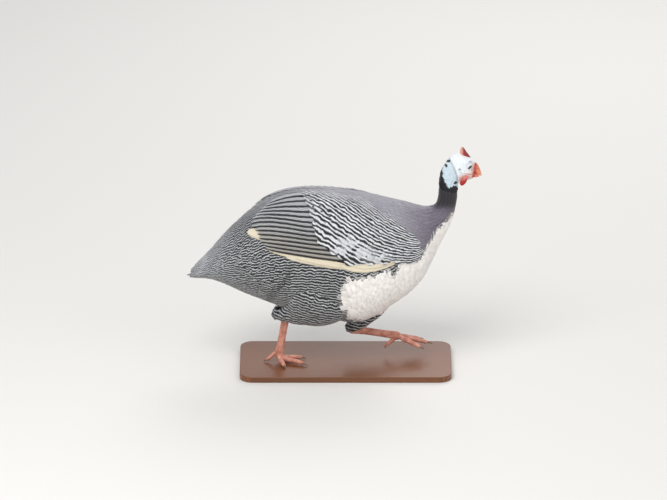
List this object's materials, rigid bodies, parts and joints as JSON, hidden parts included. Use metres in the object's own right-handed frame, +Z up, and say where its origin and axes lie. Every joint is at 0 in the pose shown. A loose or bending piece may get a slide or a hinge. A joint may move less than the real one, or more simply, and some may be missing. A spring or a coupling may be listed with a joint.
{
  "type": "guinea fowl figure",
  "caption": "Life-size still figure of a helmeted guinea fowl stepping forward, pearl-barred grey plumage with a white breast, bare pale head with casque and red wattles, on a flat wooden base",
  "frame": {"origin": "centre of the underside of the display base, at floor level", "axes": "+X is the way the bird faces and steps, +Y its left side, +Z up"},
  "size_m": [0.4863, 0.17, 0.3823],
  "materials": {
    "plumage_dark": "matte barred slate feathers",
    "plumage_wing": "matte barred grey feathers with cream primaries",
    "neck_skin": "bare pale blue-grey skin with dark down below",
    "face_skin": "smooth chalky bluish-white bare skin",
    "wattle": "soft bright red bare skin",
    "casque": "dull horny pinkish-red",
    "bill": "satin salmon-orange horn",
    "eye": "wet dark brown",
    "leg": "scaly orange-pink skin",
    "claw": "brown horn",
    "base": "dark waxed wood"
  },
  "bodies": {
    "root": {"torso": "plumage_dark", "tail": "plumage_dark", "thigh_right": "plumage_dark", "thigh_left": "plumage_dark", "wing_left": "plumage_wing", "wing_right": "plumage_wing", "neck": "neck_skin", "head": "face_skin", "wattle_left": "wattle", "wattle_right": "wattle", "casque": "casque", "bill_upper": "bill", "bill_lower": "bill", "eye_left": "eye", "eye_right": "eye", "shank_right": "leg", "shank_left": "leg", "foot_right": "leg", "foot_left": "leg", "claw_right_inner": "claw", "claw_right_middle": "claw", "claw_right_outer": "claw", "claw_right_hind": "claw", "claw_left_inner": "claw", "claw_left_middle": "claw", "claw_left_outer": "claw", "claw_left_hind": "claw", "stand_base": "base"}
  },
  "joints": []
}
